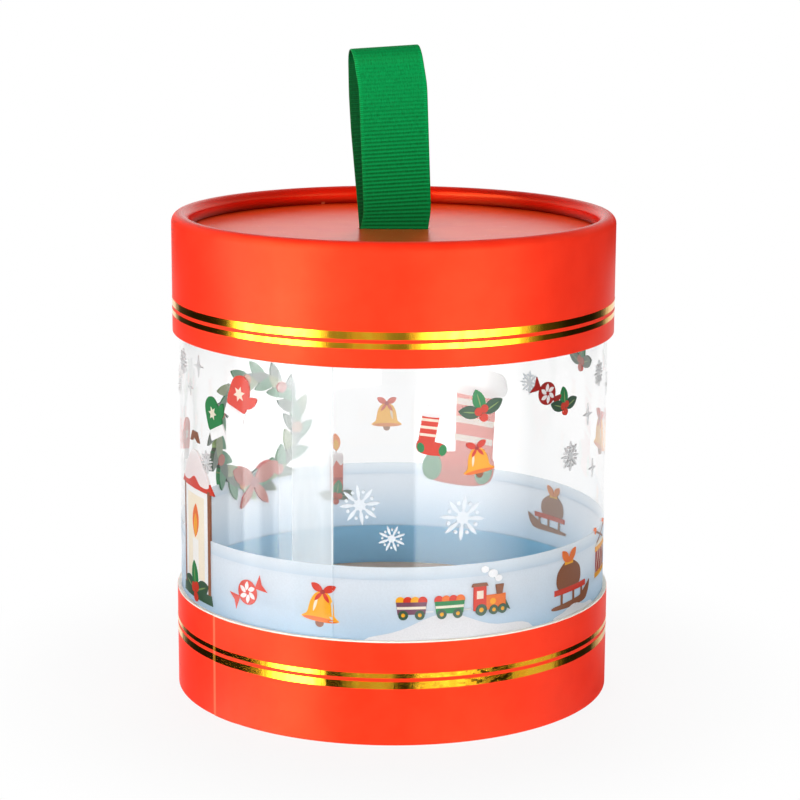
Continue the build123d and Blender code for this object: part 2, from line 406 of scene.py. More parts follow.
def gold_foil_finish(name, radius, depth, crease_and_dark_share):
    """Mirror foil on paper: dents of the stamping, of a depth, and a fine grain.
    Two patches of it are creased, by a share, and over three patches near-black
    spots are painted, by the same share, as painted dark reflections; it is
    rubbed dull at the end of the lap."""
    finish = Finish(name)
    dents = finish.grain(2.4 * mm, 2, (1, 1, 0.35))
    pits = finish.grain(0.3 * mm, 3)
    across = finish.axis(0)
    patch_end = finish.between(across, 34 * mm, 31 * mm)
    creased = finish.between(across, 3 * mm, 7 * mm) * patch_end
    dark_patch = finish.between(across, 17 * mm, 25 * mm) * patch_end
    left_patch = finish.between(across, -42 * mm, -40 * mm) * finish.between(across, -35 * mm, -38 * mm)
    creases = finish.grain(1.2 * mm, 3, (0.55, 0.55, 1.2))
    # Painted dark reflections: near-black spots in three patches.
    painted_dark_reflections = finish.between(creases, 0.52, 0.58) * (creased * 0.25 + dark_patch * 0.75 + left_patch) * crease_and_dark_share
    folds = creases * (creased + left_patch) * (0.7 * crease_and_dark_share)
    rubbed = finish.between(finish.from_seam(radius), 0.75 * mm, 0.45 * mm)
    gold = finish.blend(finish.between(dents, 0.35, 0.65), (1.0, 0.47, 0.02), (1.0, 0.55, 0.03))
    # The foil darkens to near black there, as painted dark reflections.
    gold = finish.blend(painted_dark_reflections * 0.9, gold, (0.05, 0.02, 0.0))
    return finish.surface(
        base_color=finish.blend(rubbed * 0.9, gold, (0.1, 0.04, 0.005)),
        metallic=1.0,
        roughness=0.07 + 0.08 * pits + 0.45 * rubbed,
        normal=finish.relief(dents * 0.8 + pits * 0.2 + folds, depth),
    )


def foil_stripe(node, body, radius, lap, angles, gold_foil):
    """One stamped band, as high as its CAD node."""
    low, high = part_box(node)
    under = radius + wrap_thickness * lap
    rows = np.linspace(low.z, high.z, 5)
    outer = np.tile(under + foil_thickness, (len(rows), 1))
    inner = np.tile(under, (2, 1))
    profile = np.concatenate([rows, [high.z, low.z]])
    stripe = turned_skin(node + "_stamped", np.concatenate([outer, inner]), profile, angles, [gold_foil])
    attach(stripe, body)
    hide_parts(node)


# The base's foil has the creases and the painted dark reflections.
base_gold_foil = gold_foil_finish("gold_foil_base", base_radius, base_dent_depth, 1.0)
for node in ("base_foil_stripe_lower", "base_foil_stripe_upper"):
    foil_stripe(node, "base", base_radius, base_lap, base_angles, base_gold_foil)

# Window: one sheet of clear plastic, rolled, with its outer end glued over its
# jogged inner end at the left of the front. The glued lap is slightly milky.
window_thickness = 0.3 * mm
window_lap_width = 11.6 * mm
window_jog_width = 5.0 * mm
window_seam_angle = 255.1
window_low, window_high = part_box("window_sheet")
window_radius = window_high.y
window_jog = math.degrees(window_jog_width / window_radius)
window_lap = math.degrees(window_lap_width / window_radius)
window_lap_edge = window_seam_angle - window_lap
window_angles = ring_angles(window_seam_angle, window_lap_edge)


def window_outer(angles):
    """Radius of the sheet's outer face: it steps in at the end of the outer
    layer and jogs out again beside it."""
    return window_radius - window_thickness * rise(angles, window_seam_angle, 0, window_jog)


def window_inner(angles):
    """Radius of the sheet's inner face: it steps in where the inner layer runs
    on under the outer one."""
    step = rise(angles, window_lap_edge, window_lap, window_jog)
    return window_radius - window_thickness * (1 + step)


def film_shell(name, low, high, count, lift, material):
    """Closed shell round the window between two heights, its faces a lift off
    the film's faces. It follows the film's lap."""
    rows = np.linspace(low, high, count)
    outer = np.tile(window_outer(window_angles) + lift, (count, 1))
    inner = np.tile(window_inner(window_angles) - lift, (count, 1))
    heights = np.concatenate([rows, rows[::-1]])
    return turned_skin(name, np.concatenate([outer, inner]), heights, window_angles, [material])


def clear_film_finish():
    """Clear glossy film. Its glued lap, and the glue squeezed out beside it,
    scatter some light, and the two cut ends show as bright lines."""
    finish = Finish("clear_film")
    from_end = (1 - finish.axis(0, "UV")) * (2 * math.pi * window_radius)
    glued = finish.between(from_end, window_lap_width + 0.15 * mm, window_lap_width - 0.15 * mm)
    outer_end = finish.between(from_end, 0.5 * mm, 0.1 * mm)
    inner_end = finish.between(finish.maths("ABSOLUTE", from_end - window_lap_width), 0.3 * mm, 0.1 * mm)
    squeezed = finish.between(from_end, window_lap_width + 4.4 * mm, window_lap_width + 4.1 * mm)
    smears = finish.grain(6 * mm, 3, (1, 1, 0.2))
    milk = 0.006 + squeezed * 0.12 + glued * (0.11 + 0.16 * smears) + outer_end * 0.3 + inner_end * 0.12
    ripples = finish.relief(finish.grain(25 * mm, 1, (1, 1, 0.3)), 0.12 * mm)
    clear = finish.node("BsdfTransparent", {}, {"Color": (1, 1, 1, 1)})
    gloss = finish.node("BsdfGlossy", {}, {"Color": (1, 1, 1, 1), "Roughness": 0.04, "Normal": ripples})
    slant = finish.node("LayerWeight", {}, {"Blend": 0.5}, out="Facing")
    film = finish.mixed(0.022 + 0.6 * slant**5, clear, gloss)
    haze = finish.node("BsdfDiffuse", {}, {"Color": (0.83, 0.87, 0.88, 1)})
    return finish.show(finish.mixed(milk, film, haze))


window_sheet = film_shell("window_film", window_low.z, window_high.z, 9, 0.0, clear_film_finish())
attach(window_sheet, "base")
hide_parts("window_sheet")

# Print of the snow band: two tones of blue round the foot of the window, screen
# printed in a thin, slightly see-through ink.
ink_thickness = 0.02 * mm
snow_foot = window_low.z + 0.5 * mm
tone_line = 45.6 * mm
snow_line = 49.1 * mm


def lit_through(finish, colour):
    """Light of one colour that comes through thin ink."""
    return finish.node("BsdfTranslucent", {}, {"Color": (*colour, 1)})


def printed(finish, tint, through, backlit):
    """Glossy printing ink of a tint, and a share of light that comes through it."""
    sockets = {"Base Color": tint, "Roughness": 0.4, "Coat Weight": 0.4, "Specular IOR Level": 0.2}
    return finish.mixed(backlit, finish.node("BsdfPrincipled", {}, sockets), through)


def snow_ink_finish(name, top, foot, high, low):
    """Blue ink that deepens from its upper edge down, and so thin that a part of
    what lies behind it shows. Less light comes through where the board of the
    base stands behind it."""
    finish = Finish(name)
    height = finish.axis(2)
    speckle = finish.grain(0.5 * mm, 2)
    up_band = finish.between(height + speckle * 1.5 * mm, low, high)
    open_air = finish.between(height, base_board_high.z - 0.3 * mm, base_board_high.z + 0.3 * mm)
    tint = finish.blend(open_air, srgb(147, 214, 254), finish.blend(up_band, foot, top))
    through = finish.mixed(up_band, lit_through(finish, foot), lit_through(finish, top))
    ink = printed(finish, tint, through, 0.1 + 0.4 * open_air)
    gap = (0.16 + 0.1 * speckle) * open_air + 0.02
    clear = finish.node("BsdfTransparent", {}, {"Color": (1, 1, 1, 1)})
    return finish.show(finish.mixed(gap, ink, clear))


pale_snow = snow_ink_finish(
    "upper_snow_ink", srgb(230, 238, 244), srgb(214, 228, 239), snow_line, tone_line
)
blue_snow = snow_ink_finish(
    "lower_snow_ink", srgb(229, 237, 244), srgb(174, 208, 231), tone_line, 22 * mm
)
for name, low, high, ink in (
    ("print_snow_upper", tone_line, snow_line, pale_snow),
    ("print_snow_lower", snow_foot, tone_line, blue_snow),
):
    band = film_shell(name, low, high, 5, ink_thickness, ink)
    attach(band, "base")

# Printed figures: plain winter things in flat inks, opaque and bright outside
# and pale inside, where the white underprint shows. Each blot of ink is a thin
# body through the film. Outlines are complex numbers in mm: across + up * 1j.
def oval(centre, wide, high, turn=0.0, count=24):
    """Ellipse about a centre: wide cos t + high sin t * 1j, turned."""
    t = 2 * np.pi * np.arange(count) / count
    return centre + (wide * np.cos(t) + high * np.sin(t) * 1j) * np.exp(1j * turn)


def petal(base, tip, width, count=20):
    """Leaf between two points: its half width follows sin t to the power 1.7."""
    t = 2 * np.pi * np.arange(count) / count
    bulge = np.sin(t) * np.abs(np.sin(t)) ** 0.7
    return (base + tip) / 2 + (tip - base) / 2 * (np.cos(t) + 1j * bulge * 2 * width / abs(tip - base))


def facets(*corners, count=4):
    """Straight sided outline with the same number of points on each side."""
    share = np.arange(count)[None, :] / count
    corners = np.array(corners, complex)[:, None]
    return (corners * (1 - share) + np.roll(corners, -1) * share).ravel()


def block(foot, top):
    """Upright box between its lower left and its upper right corner."""
    return facets(foot, complex(top.real, foot.imag), top, complex(foot.real, top.imag))


def soft(*knots, count=6):
    """Smooth closed outline through its knots: a cubic on each span, whose slope
    at a knot is half the step between its neighbours."""
    p = np.array(knots, complex)[:, None]
    before, after, later = np.roll(p, 1), np.roll(p, -1), np.roll(p, -2)
    t = np.arange(count)[None, :] / count
    slope, next_slope = (after - before) / 2, (later - p) / 2
    rest = (2 * t**3 - 3 * t**2 + 1) * p + (t**3 - 2 * t**2 + t) * slope
    return (rest + (3 * t**2 - 2 * t**3) * after + (t**3 - t**2) * next_slope).ravel()


def star(centre, size, points=5, depth=0.45):
    """Star whose corners lie on two circles, its first tip upwards."""
    corner = np.arange(2 * points)
    reach = np.where(corner % 2, depth * size, size)
    return facets(*(centre + reach * np.exp(1j * np.pi * (0.5 + corner / points))), count=3)


def turns(*angles):
    """Unit steps in directions given as angles."""
    return np.exp(1j * np.array(angles))


def bow(centre, size):
    """Two tails, two loops and a knot."""
    reaches = [(0.6 * side - 0.8j, 0.16) for side in (-1, 1)] + [(side + 0.55j, 0.3) for side in (-1, 1)]
    ribbons = [("red", petal(centre, centre + size * reach, width * size)) for reach, width in reaches]
    return ribbons + [("deep_red", oval(centre, 0.2 * size, 0.18 * size))]


def bell():
    """Gold bell with a clapper, an orange lip, a shine and a bow."""
    shape = soft(-6 - 4j, -4.7 - 2j, -3.8 + 2.4j, -1.8 + 5.2j, 1.8 + 5.2j, 3.8 + 2.4j, 4.7 - 2j, 6 - 4j)
    metal = [("brown", oval(-5j, 1.5, 1.5)), ("gold", shape), ("orange", oval(-3.9j, 6.1, 0.8))]
    return metal + [("cream", petal(-2.6 - 1.5j, -1.6 + 3.6j, 0.5))] + bow(5.6j, 4.2)


def stocking():
    """Banded stocking with a green toe and heel, and a white cuff."""
    leg = facets(-3.4 - 3j, 2.6 - 3j, 3.2 + 8j, -3.2 + 8j)
    foot = soft(-3.5 - 2.6j, -3.4 - 6j, -7.4j, 6 - 7.2j, 7.6 - 5j, 6 - 3j, 2.6 - 2.4j, -1.4j)
    bands = [("cream", facets(-3.3, 2.9, 3 + 1j, -3.3 + 1j) + h * 1j) for h in (-0.6, 2.2, 5.0)]
    patches = [("green", oval(6.1 - 5.2j, 1.5, 2.1)), ("green", oval(-2.2 - 5j, 1.3, 1.9, 0.4))]
    cuff = soft(-4.2 + 7j, 4.2 + 7j, 4.4 + 10.4j, 10.8j, -4.4 + 10.4j)
    return [("red", foot), ("red", leg)] + bands + patches + [("white", cuff)]


def mitten(ink="red"):
    """Mitten with a thumb, a white cuff and a star."""
    palm = soft(-3.2 - 3j, 3.2 - 3j, 3.7 + 2j, 2.6 + 5.6j, 6.8j, -2.8 + 5.4j, -3.7 + 2j)
    cuff = facets(-3.9 - 6j, 3.9 - 6j, 3.7 - 2.8j, -3.7 - 2.8j)
    knit = [(ink, petal(2.2 - 1.5j, 6.4 + 3j, 1.5)), (ink, palm)]
    return knit + [("white", cuff), ("cream", star(0.1 + 1.6j, 2.2, 6, 0.5))]


def holly():
    """Three leaves with veins, and three berries."""
    ways = list(zip(("deep_green", "green", "deep_green"), turns(0.35, 1.7, 2.85)))
    leaves = [(ink, petal(0j, 8 * way, 2.1)) for ink, way in ways]
    veins = [("pale_green", petal(way, 6.6 * way, 0.22)) for ink, way in ways]
    return leaves + veins + [("red", oval(1.5 * way, 1.35, 1.35)) for way in turns(1.0, 2.6, 4.9)]


def candle():
    """Lit candle with white drips and two rings, in holly."""
    wick = facets(-0.2 + 7j, 0.2 + 7j, 0.3 + 9.6j, -0.1 + 9.6j)
    flame = [("orange", petal(9j, 0.5 + 17j, 2.1)), ("gold", petal(9.6j, 0.4 + 14.4j, 1.2))]
    runs = (-3 + 7.4j, -2.9 + 3.2j, -1.6 + 2.6j, -0.8 + 5.4j, 0.8 + 4.6j, 2 + 1.4j, 3 + 3j, 3 + 7.4j, 8.2j)
    wax = [("red", block(-3 - 12j, 3 + 7j)), ("white", soft(*runs))]
    rings = [("deep_red", block(-3 + 0j, 3 + 1.3j) + h * 1j) for h in (-8, -4.4)]
    foot = [(ink, outline * 1.05 - 12.5j) for ink, outline in holly()]
    return [("grey", wick)] + flame + wax + rings + foot


def lantern():
    """Snow on a red roof, a white case with a lit candle, and holly at the foot."""
    half_turn = turns(0, 1.05, 2.09, 3.14)
    ring = facets(*(12.2j + np.concatenate([1.9 * half_turn, 1.1 * half_turn[::-1]])), count=3)
    case = [("white", block(-5 - 12j, 5 + 5j)), ("cream", block(-3.4 - 10j, 3.4 + 3.6j))]
    flame = [("orange", petal(-3.4j, 0.3 + 2.2j, 1.3)), ("gold", petal(-3.2j, 0.2 + 0.6j, 0.7))]
    bars = [("brown", block(-12j, 0.8 + 5j) + x) for x in (-5.4, 4.6)]
    roof = facets(-6.6 + 4.6j, 6.6 + 4.6j, 1.6 + 10j, -1.6 + 10j)
    cap = (-5.2 + 6j, -2.6 + 5.6j, 6.6j, 2.4 + 5.4j, 5.2 + 6j, 1.8 + 10.2j, 10.8j, -1.8 + 10.2j)
    foot = facets(-6 - 13.4j, 6 - 13.4j, 5.6 - 11.8j, -5.6 - 11.8j)
    twig = [(ink, outline * 0.62 - 12.2j) for ink, outline in holly()]
    light = [("white", block(-1.2 - 10j, 1.2 - 3.6j))] + flame + bars
    cover = [("red", roof), ("white", soft(*cap)), ("deep_green", foot)]
    return [("brown", ring)] + case + light + cover + twig


def wreath():
    """Leaves that lean out and in by turns round a ring, berries and a bow."""
    leaf_count = 48
    berry_count = 7
    leaves = []
    for k in range(leaf_count):
        angle = 2 * np.pi * k / leaf_count
        middle = (10.4, 12.4, 11.2)[k % 3] * np.exp(1j * angle)
        lean = np.exp(1j * (angle + np.pi / 2 + (-0.7, 0.75, 0.1)[k % 3]))
        ink = ("green", "deep_green", "pale_green", "green", "deep_green")[k % 5]
        leaves.append((ink, petal(middle - 3.4 * lean, middle + 3.8 * lean, 1.25)))
    spots = 11.3 * turns(*(0.5 + 2 * np.pi * np.arange(berry_count) / berry_count))
    berries = [(("red", "orange")[k % 2], oval(spot, 1.2, 1.2)) for k, spot in enumerate(spots)]
    return leaves + berries + bow(-11j, 6.4)


def sweet(ink="red"):
    """Round sweet with a swirl, in a twisted wrapper."""
    ends = [facets(side * 3.2, side * 7 + 2.8j, side * 6.2, side * 7 - 2.8j) for side in (-1, 1)]
    ways = turns(*(np.pi / 3 * np.arange(6)))
    swirl = [("white", petal(3.2 * way, 0.7 * way * np.exp(0.7j), 0.7)) for way in ways]
    return [(ink, end) for end in ends] + [(ink, oval(0j, 3.7, 3.7))] + swirl


def drum():
    """Drum with slanting cords and gold hoops, under two crossed sticks."""
    stick = facets(-5 + 6j, -4.6 + 5.4j, 6.4 + 9.4j, 6 + 10j)
    sticks = [("brown", stick), ("brown", -stick.conj())]
    knobs = [("orange", oval(side * 6.4 + 9.9j, 1.1, 1.1)) for side in (-1, 1)]
    cords = [("cream", facets(-4j, 0.5 - 4j, 3.5 + 4j, 3 + 4j) + x) for x in (-6, -3, 0, 2.5)]
    hoops = [("gold", block(-6.5 + 0j, 6.5 + 1.6j) + h * 1j) for h in (-5.2, 3.2)]
    shell = [("deep_red", block(-6 - 4j, 6 + 4j))] + cords
    return sticks + knobs + shell + [("cream", oval(4.6j, 6.2, 1.4))] + hoops


def wheel(x, size):
    """Wheel with a gold hub, that stands on the line."""
    sizes = (("deep_green", size), ("gold", 0.4 * size))
    return [(ink, oval(x + size * 1j, radius, radius)) for ink, radius in sizes]


def wagon(x, ink, load):
    """Heaped wagon with its hitch, a band and two wheels."""
    heap = [(load[k % 2], oval((k - 1.5) * 2.7 + 7j, 1.7, 1.7)) for k in range(4)]
    tub = facets(-5 + 2j, 5 + 2j, 5.6 + 6.6j, -5.6 + 6.6j)
    band = facets(-5.2 + 4j, 5.2 + 4j, 5.3 + 5j, -5.3 + 5j)
    body = [("grey", block(5 + 2.6j, 8 + 3.2j))] + heap + [(ink, tub), ("cream", band)]
    return [(tone, outline + x) for tone, outline in body + wheel(-3, 1.8) + wheel(3, 1.8)]


def train():
    """Engine with a cab, a chimney and steam, and two wagons."""
    chimney = facets(22.4 + 7.4j, 24.6 + 7.4j, 25.2 + 11j, 21.8 + 11j)
    engine = [("orange", block(14 + 2j, 26 + 7.4j)), ("brown", chimney), ("red", block(13 + 2j, 18 + 11j))]
    roof = facets(12.2 + 11j, 18.8 + 11j, 18.2 + 12.2j, 12.8 + 12.2j)
    cab = [("cream", block(14.2 + 6.4j, 16.8 + 9.4j)), ("brown", roof)]
    puffs = ((23 + 13.4j, 1.4, 1.2), (20.6 + 15.4j, 1.9, 1.5), (17.4 + 17.2j, 1.5, 1.2))
    steam = [("white", oval(*puff)) for puff in puffs]
    trim = [("gold", oval(20.6 + 5j, 1.2, 1.2)), ("deep_green", facets(26 + 2j, 28 + 1j, 26 + 5j))]
    cars = wagon(-10, "purple", ("gold", "red")) + wagon(4, "green", ("red", "orange"))
    wheels = wheel(16, 2.2) + wheel(21, 1.8) + wheel(24.6, 1.8)
    return cars + engine + cab + steam + trim + wheels


def sledge():
    """Sledge on one curled runner with a tied sack."""
    runner = soft(-7 + 0.4j, 5 + 0.2j, 8 + 1.6j, 9.2 + 4.6j, 8.2 + 4.4j, 7 + 2.2j, 4.6 + 1.3j, -7 + 1.4j)
    posts = [("brown", block(1j, 0.9 + 4.2j) + x) for x in (-5, 0, 4)]
    sack = soft(-5.5 + 5.2j, 2.6 + 5.2j, 3.4 + 9.2j, -0.6 + 12j, -3 + 12j, -6.4 + 9.2j)
    ears = [("orange", petal(-1.8 + 11.5j, tip, 1.1)) for tip in (-4.6 + 14.6j, 1.2 + 14.6j)]
    load = [("brown", sack), ("gold", block(-3.6 + 11j, 11.9j))] + ears
    return [("brown", runner)] + posts + load + [("red", block(-7.4 + 4j, 6.4 + 5.4j))]


def drift(wide, high):
    """Mound of snow on a flat foot: half an oval, its top waved by a cosine."""
    x = np.linspace(-1, 1, 25)
    top = wide * x + high * (0.75 + 0.25 * np.cos(5 * x + 0.6)) * (1 - x**2) ** 0.7 * 1j
    return [("snow", np.concatenate([top, wide * x[-2:0:-1] - 1.5j]))]


def lone_star(ink="frost"):
    """Snow star with eight tips, eight rays and eight dots."""
    ways = turns(*(np.pi / 4 * np.arange(8)))
    rays = [petal(1.1 * way, 4.6 * way, 0.42, 12) for way in ways]
    dots = [oval(3.1 * way * np.exp(1j * np.pi / 8), 0.38, 0.38, 0, 10) for way in ways]
    return [(ink, star(0j, 1.9, 8, 0.6))] + [(ink, outline) for outline in rays + dots]


def sparkle():
    """Small star with four sharp tips."""
    return [("grey", star(0j, 3.4, 4, 0.22))]


inks = {
    "red": (216, 58, 36),
    "deep_red": (168, 36, 30),
    "green": (28, 128, 68),
    "deep_green": (52, 84, 62),
    "pale_green": (132, 160, 96),
    "gold": (250, 178, 34),
    "orange": (240, 122, 44),
    "brown": (142, 86, 56),
    "purple": (122, 78, 98),
    "cream": (250, 240, 220),
    "white": (250, 250, 250),
    "snow": (228, 227, 228),
    "grey": (222, 223, 224),
    "frost": (232, 238, 243),
}
underprint_share = 0.56
underprint_white = 245
blot_ring_width = 1.3
blot_lift = 2 * ink_thickness
layer_lift = 0.6 * ink_thickness


def figure_ink_finish(name, colour):
    """Flat ink with the fine speckle of the screen."""
    finish = Finish(name)
    speckle = finish.between(finish.grain(0.35 * mm, 2), 0.35, 0.65)
    tint = finish.blend(speckle, tuple(share * 0.92 for share in colour), colour)
    return finish.show(printed(finish, tint, lit_through(finish, colour), 0.3))


def pale(colour):
    """The same ink over white, as seen from inside."""
    return ((1 - underprint_share) * share + underprint_share * underprint_white for share in colour)


outside_inks = [figure_ink_finish("ink_" + name, srgb(*inks[name])) for name in inks]
inside_inks = [figure_ink_finish("ink_inside_" + name, srgb(*pale(inks[name]))) for name in inks]


def blot(outline, layer):
    """Body of one blot through the film: rings of points, from the middle out to
    the outline, on a front and a back face. Later layers stand further out."""
    middle = outline.mean()
    if np.sum((outline.conj() * np.roll(outline, -1)).imag) < 0:
        outline = outline[::-1]
    count = len(outline)
    rings = int(np.ceil(np.abs(outline - middle).max() / blot_ring_width))
    shares = np.arange(1, rings + 1)[:, None] / rings
    flat = np.concatenate([[middle], (middle + shares * (outline - middle)).ravel()])
    angles = 270 + np.degrees(flat.real * mm / window_radius)
    turn = np.radians(angles)
    lift = blot_lift + layer_lift * layer
    points = []
    for radius in (window_outer(angles) + lift, window_inner(angles) - lift):
        points.append(np.stack([radius * np.cos(turn), radius * np.sin(turn), flat.imag * mm], axis=1))
    here = np.arange(count)
    there = (here + 1) % count
    fan = np.stack([np.zeros(count, int), 1 + here, 1 + there, np.full(count, -1)], axis=1)
    start = 1 + np.arange(rings)[:, None] * count
    near, far = start[:-1], start[1:]
    bands = np.stack([near + here, far + here, far + there, near + there], axis=2).reshape(-1, 4)
    front = np.concatenate([fan, bands])
    total = len(flat)
    back = np.where(front < 0, -1, front + total)
    back = np.where(back[:, 3:] < 0, back[:, [0, 2, 1, 3]], back[:, [0, 3, 2, 1]])
    edge = start[-1] + here
    next_edge = start[-1] + there
    side = np.stack([edge, edge + total, next_edge + total, next_edge], axis=1)
    return np.concatenate(points), np.concatenate([front, side]), back


def printed_figures(name, placed):
    """One mesh of all the blots of figures: each is a drawing, its polar angle,
    height in mm, size and turn."""
    points, faces, slots, total = [], [], [], 0
    for drawing, angle, height, size, turn in placed:
        spot = (angle - 270) * math.radians(1) * window_radius / mm + height * 1j
        for layer, (ink, outline) in enumerate(drawing):
            body, front, back = blot(outline * size * np.exp(1j * math.radians(turn)) + spot, layer)
            slot = list(inks).index(ink)
            points.append(body)
            faces += [np.where(side < 0, -1, side + total) for side in (front, back)]
            slots += [np.full(len(front), slot), np.full(len(back), slot + len(inks))]
            total += len(body)
    mesh = raw_mesh(name, np.concatenate(points), np.concatenate(faces))
    mesh.polygons.foreach_set("material_index", np.concatenate(slots).astype(np.int32))
    return finished(name, mesh, outside_inks + inside_inks)


front_figures = [
    (lantern(), 206, 54, 1.75, 0),
    (mitten("green"), 217, 84, 0.9, 24),
    (mitten(), 227, 91, 1.0, -18),
    (sweet(), 230, 38, 0.95, 30),
    (sparkle(), 209, 97, 0.9, 0),
    (sparkle(), 203, 90, 0.7, 0),
    (lone_star("grey"), 196, 96, 0.8, 0),
    (lone_star("grey"), 213, 71, 0.7, 10),
    (bell(), 252, 37, 0.82, -6),
    (lone_star(), 262, 66, 1.2, 8),
    (lone_star(), 270, 57, 0.8, 20),
    (stocking(), 279, 85, 0.72, -8),
    (holly(), 293, 90, 0.85, 10),
    (bell(), 292, 77, 0.68, 8),
    (lone_star(), 288, 62, 1.35, -6),
    (drift(25, 7.5), 286, 28.6, 1.0, 0),
    (train(), 282, 34.6, 0.74, 0),
    (sledge(), 325, 31, 1.15, 0),
    (drift(11, 2.4), 327, 29.3, 1.0, 0),
    (sweet("deep_red"), 313, 93, 0.85, -30),
    (holly(), 320, 88, 0.75, 0),
    (lone_star("grey"), 323, 74, 0.9, 0),
    (sparkle(), 332, 84, 0.9, 0),
    (sparkle(), 336, 68, 0.8, 0),
    (lone_star("grey"), 340, 94, 0.8, 0),
    (drum(), 345, 40, 0.9, 0),
]
back_figures = [
    (sparkle(), 355, 88, 1.0, 0),
    (bell(), 8, 70, 0.9, 0),
    (sledge(), 38, 33, 1.0, 0),
    (holly(), 24, 88, 0.9, 0),
    (stocking(), 66, 58, 2.05, 4),
    (lone_star(), 47, 78, 0.8, 0),
    (sparkle(), 88, 88, 1.0, 0),
    (bell(), 92, 64, 0.72, 0),
    (candle(), 107, 47, 0.7, 0),
    (wreath(), 135, 63, 1.45, 0),
    (sweet(), 118, 88, 0.9, 20),
    (drum(), 160, 38, 0.95, 0),
    (mitten(), 172, 68, 0.95, 12),
    (lone_star("grey"), 182, 88, 0.9, 0),
    (drift(14, 3), 170, 29.3, 1.0, 0),
]
for name, placed in (("print_figures_front", front_figures), ("print_figures_back", back_figures)):
    figures = printed_figures(name, placed)
    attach(figures, "base")

# Lid board tube, stop ring and top disc: white lined board. The ring holds the
# disc up against the rolled rim and stops the lid on the window.
dress("lid_board_tube", white_board)
dress("lid_stop_ring", white_board)
dress("lid_top_disc", white_board)

# Lid wrap: the same red paper, lapped at the back, rolled in over the rim with
# the board and tucked down its inner side to the top disc.
lid_seam_angle = 112.0
rim_width = 5.0 * mm
rim_foot_bevel = 0.6 * mm
lid_low, lid_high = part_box("lid_wrap")
lid_board_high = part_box("lid_board_tube")[1]
facing_low, facing_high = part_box("lid_disc_facing")
lid_radius = lid_board_high.x + wrap_thickness
lid_angles = ring_angles(lid_seam_angle)
lid_lap = wrap_lap(lid_angles, lid_seam_angle, lid_radius)
rim_bend = rim_width / 2
rim_start = lid_high.z - rim_bend
wall_band = 0.1 * mm
lap_fade = 3.0 * mm


def rim_arch(bend, start, end, count):
    """Points of the rolled edge: a turn of one radius, by angle in degrees."""
    turn = np.radians(np.linspace(start, end, count))
    return np.stack([lid_radius - rim_bend + bend * np.cos(turn), rim_start + bend * np.sin(turn)], axis=1)


def rim_profile():
    """Profile of the wrapped lid: up the wall, over the roll, down to the foot
    beside the top disc, and back on the paper's inner face."""
    wall = wrap_rows(lid_low.z, rim_start, 14)[:-2]
    outside = np.stack([np.full(len(wall), lid_radius), wall], axis=1)
    outside[0, 0] -= cut_edge_round
    over = rim_arch(rim_bend, 0, 180, 33)
    bevel = np.array([(0, 1.4), (0.1, 0.8), (0.35, 0.35), (1, 0)]) * rim_foot_bevel
    inside = [(rim_foot_bevel, wrap_thickness), (wrap_thickness, rim_foot_bevel)]
    foot = np.concatenate([bevel, inside]) + (lid_radius - rim_width, facing_high.z)
    under = rim_arch(rim_bend - wrap_thickness, 180, 0, 17)
    return np.concatenate([outside, over, foot, under, [(lid_radius - wrap_thickness, lid_low.z)]])


lid_profile = rim_profile()
on_wall = (lid_profile[:, 0] > lid_radius - wall_band) & (lid_profile[:, 1] < rim_start)
fade = np.clip((rim_start - lid_profile[:, 1]) / lap_fade, 0, 1) * on_wall
lid_radii = lid_profile[:, :1] + wrap_thickness * lid_lap * fade[:, None]
lid_core_rows = np.zeros(len(lid_profile), int)
lid_core_rows[-1] = 1
wall_rise = rim_start - lid_low.z
lid_roll = wall_rise + math.pi * rim_bend / 2
lid_tuck = wall_rise + math.pi * rim_bend + rim_start - facing_high.z
# The lid's paper holds painted shade: deeper red beyond the roll, dark towards the tuck.
red_paper_lid = red_paper_finish("red_paper_lid", lid_radius, lid_high.z - rim_width, lid_roll, lid_tuck)
lid_wrap = turned_skin(
    "lid_wrap_paper",
    lid_radii,
    lid_profile[:, 1],
    lid_angles,
    [red_paper_lid, paper_core],
    row_material=lid_core_rows,
)
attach(lid_wrap, "lid")
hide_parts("lid_wrap")

# Lid foil stripes: as those of the base, but smoother, the narrow one below.
lid_dent_depth = 0.04 * mm
smooth_foil = gold_foil_finish("gold_foil_lid", lid_radius, lid_dent_depth, 0.0)
for node in ("lid_foil_stripe_lower", "lid_foil_stripe_upper"):
    foil_stripe(node, "lid", lid_radius, lid_lap, lid_angles, smooth_foil)

# Disc facing: satin laminated red paper on the top disc, slit for the ribbon.
slot_length = 20.4 * mm
slot_width = 1.8 * mm


def facing_points():
    """Closed sheet between the slot and the disc's edge: straight lines from a
    point of the slot to the point of the circle at the same angle."""
    turn = np.radians(np.arange(0, 360, 2.0))
    unit = np.stack([np.cos(turn), np.sin(turn)], axis=1)
    slot = unit * slot_width / 2
    slot[:, 0] += (slot_length - slot_width) / 2 * np.clip(1.5 * unit[:, 0], -1, 1)
    shares = np.linspace(0, 1, 14)[:, None, None] ** 1.2
    top = slot + (facing_high.x * unit - slot) * shares
    rows = np.concatenate([top, top[::-1]])
    heights = np.where(np.arange(len(rows)) < len(top), facing_high.z, facing_low.z)
    return np.dstack([rows, np.broadcast_to(heights[:, None, None], (*rows.shape[:2], 1))])


def satin_red_finish():
    """Satin film over red print, with fine streaks from the laminating roller."""
    finish = Finish("satin_red_paper")
    streaks = finish.grain(0.45 * mm, 3, (0.04, 1, 1))
    grit = finish.grain(0.3 * mm, 2)
    mottle = finish.grain(8 * mm, 3)
    shade = finish.between(mottle * 0.4 + streaks * 0.25, 0.1, 0.55)
    return finish.surface(
        base_color=finish.blend(shade, srgb(243, 61, 17), srgb(252, 81, 26)),
        roughness=0.2 + 0.05 * streaks + 0.06 * grit,
        normal=finish.relief(streaks * 0.3 + grit * 0.4, 0.014 * mm),
        specular_ior_level=0.5,
    )


